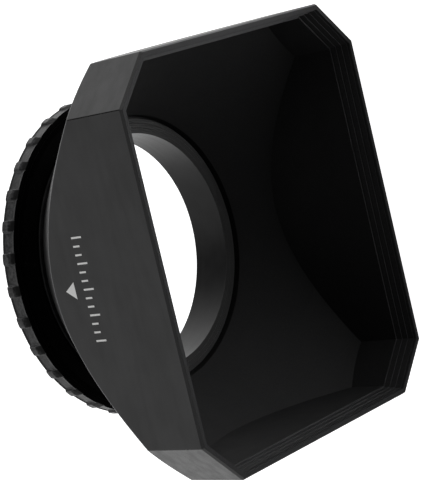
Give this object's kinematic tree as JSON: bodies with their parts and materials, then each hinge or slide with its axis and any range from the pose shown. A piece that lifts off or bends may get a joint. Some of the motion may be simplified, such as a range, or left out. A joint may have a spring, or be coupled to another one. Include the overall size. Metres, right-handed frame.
{
  "type": "rectangular lens hood",
  "caption": "Black rectangular lens hood with a stepped octagonal mouth, a threaded mount collar it turns on, and a lugged lock ring that runs on the collar.",
  "frame": {"origin": "centre of the shoulder that the lens's front rim seats on, on the optical axis", "axes": "+Y along the optical axis towards the lens, so the mouth faces -Y; +Z out of the panel with the index mark; +X along the mouth's long side"},
  "size_m": [0.069, 0.0369, 0.0614],
  "materials": {
    "hood_plastic": "satin black moulding with a very fine grain",
    "black_anodised": "satin black anodised, turned",
    "fibre": "dark vulcanised fibre",
    "slip_plastic": "smooth dark nylon",
    "ring_plastic": "deep black moulding",
    "grip_rubber": "dull black rubber, slightly mottled",
    "white_print": "white pad print"
  },
  "bodies": {
    "collar": {"mount_collar": "black_anodised", "flange_washer": "fibre"},
    "hood": {"hood_shell": "hood_plastic", "index_mark": "white_print", "level_scale": "white_print"},
    "washer": {"slip_washer": "slip_plastic"},
    "lock_ring": {"lock_ring": "ring_plastic", "grip_band": "grip_rubber"}
  },
  "joints": [
    {"name": "hood_turn", "type": "hinge", "parent": "collar", "child": "hood", "pos_m": [0, 0, 0], "axis": [0, 1, 0], "continuous": true},
    {"name": "lock_ring_travel", "type": "slide", "parent": "collar", "child": "washer", "axis": [0, 1, 0], "range_m": [-0.000751, 0]},
    {"name": "lock_ring_turn", "type": "hinge", "parent": "washer", "child": "lock_ring", "pos_m": [0, 0, 0], "axis": [0, 1, 0], "range_deg": [-360, 0]}
  ],
  "couplings": [
    {"joint": "lock_ring_travel", "follows": "lock_ring_turn", "m_per_rad": 0.00011937}
  ]
}
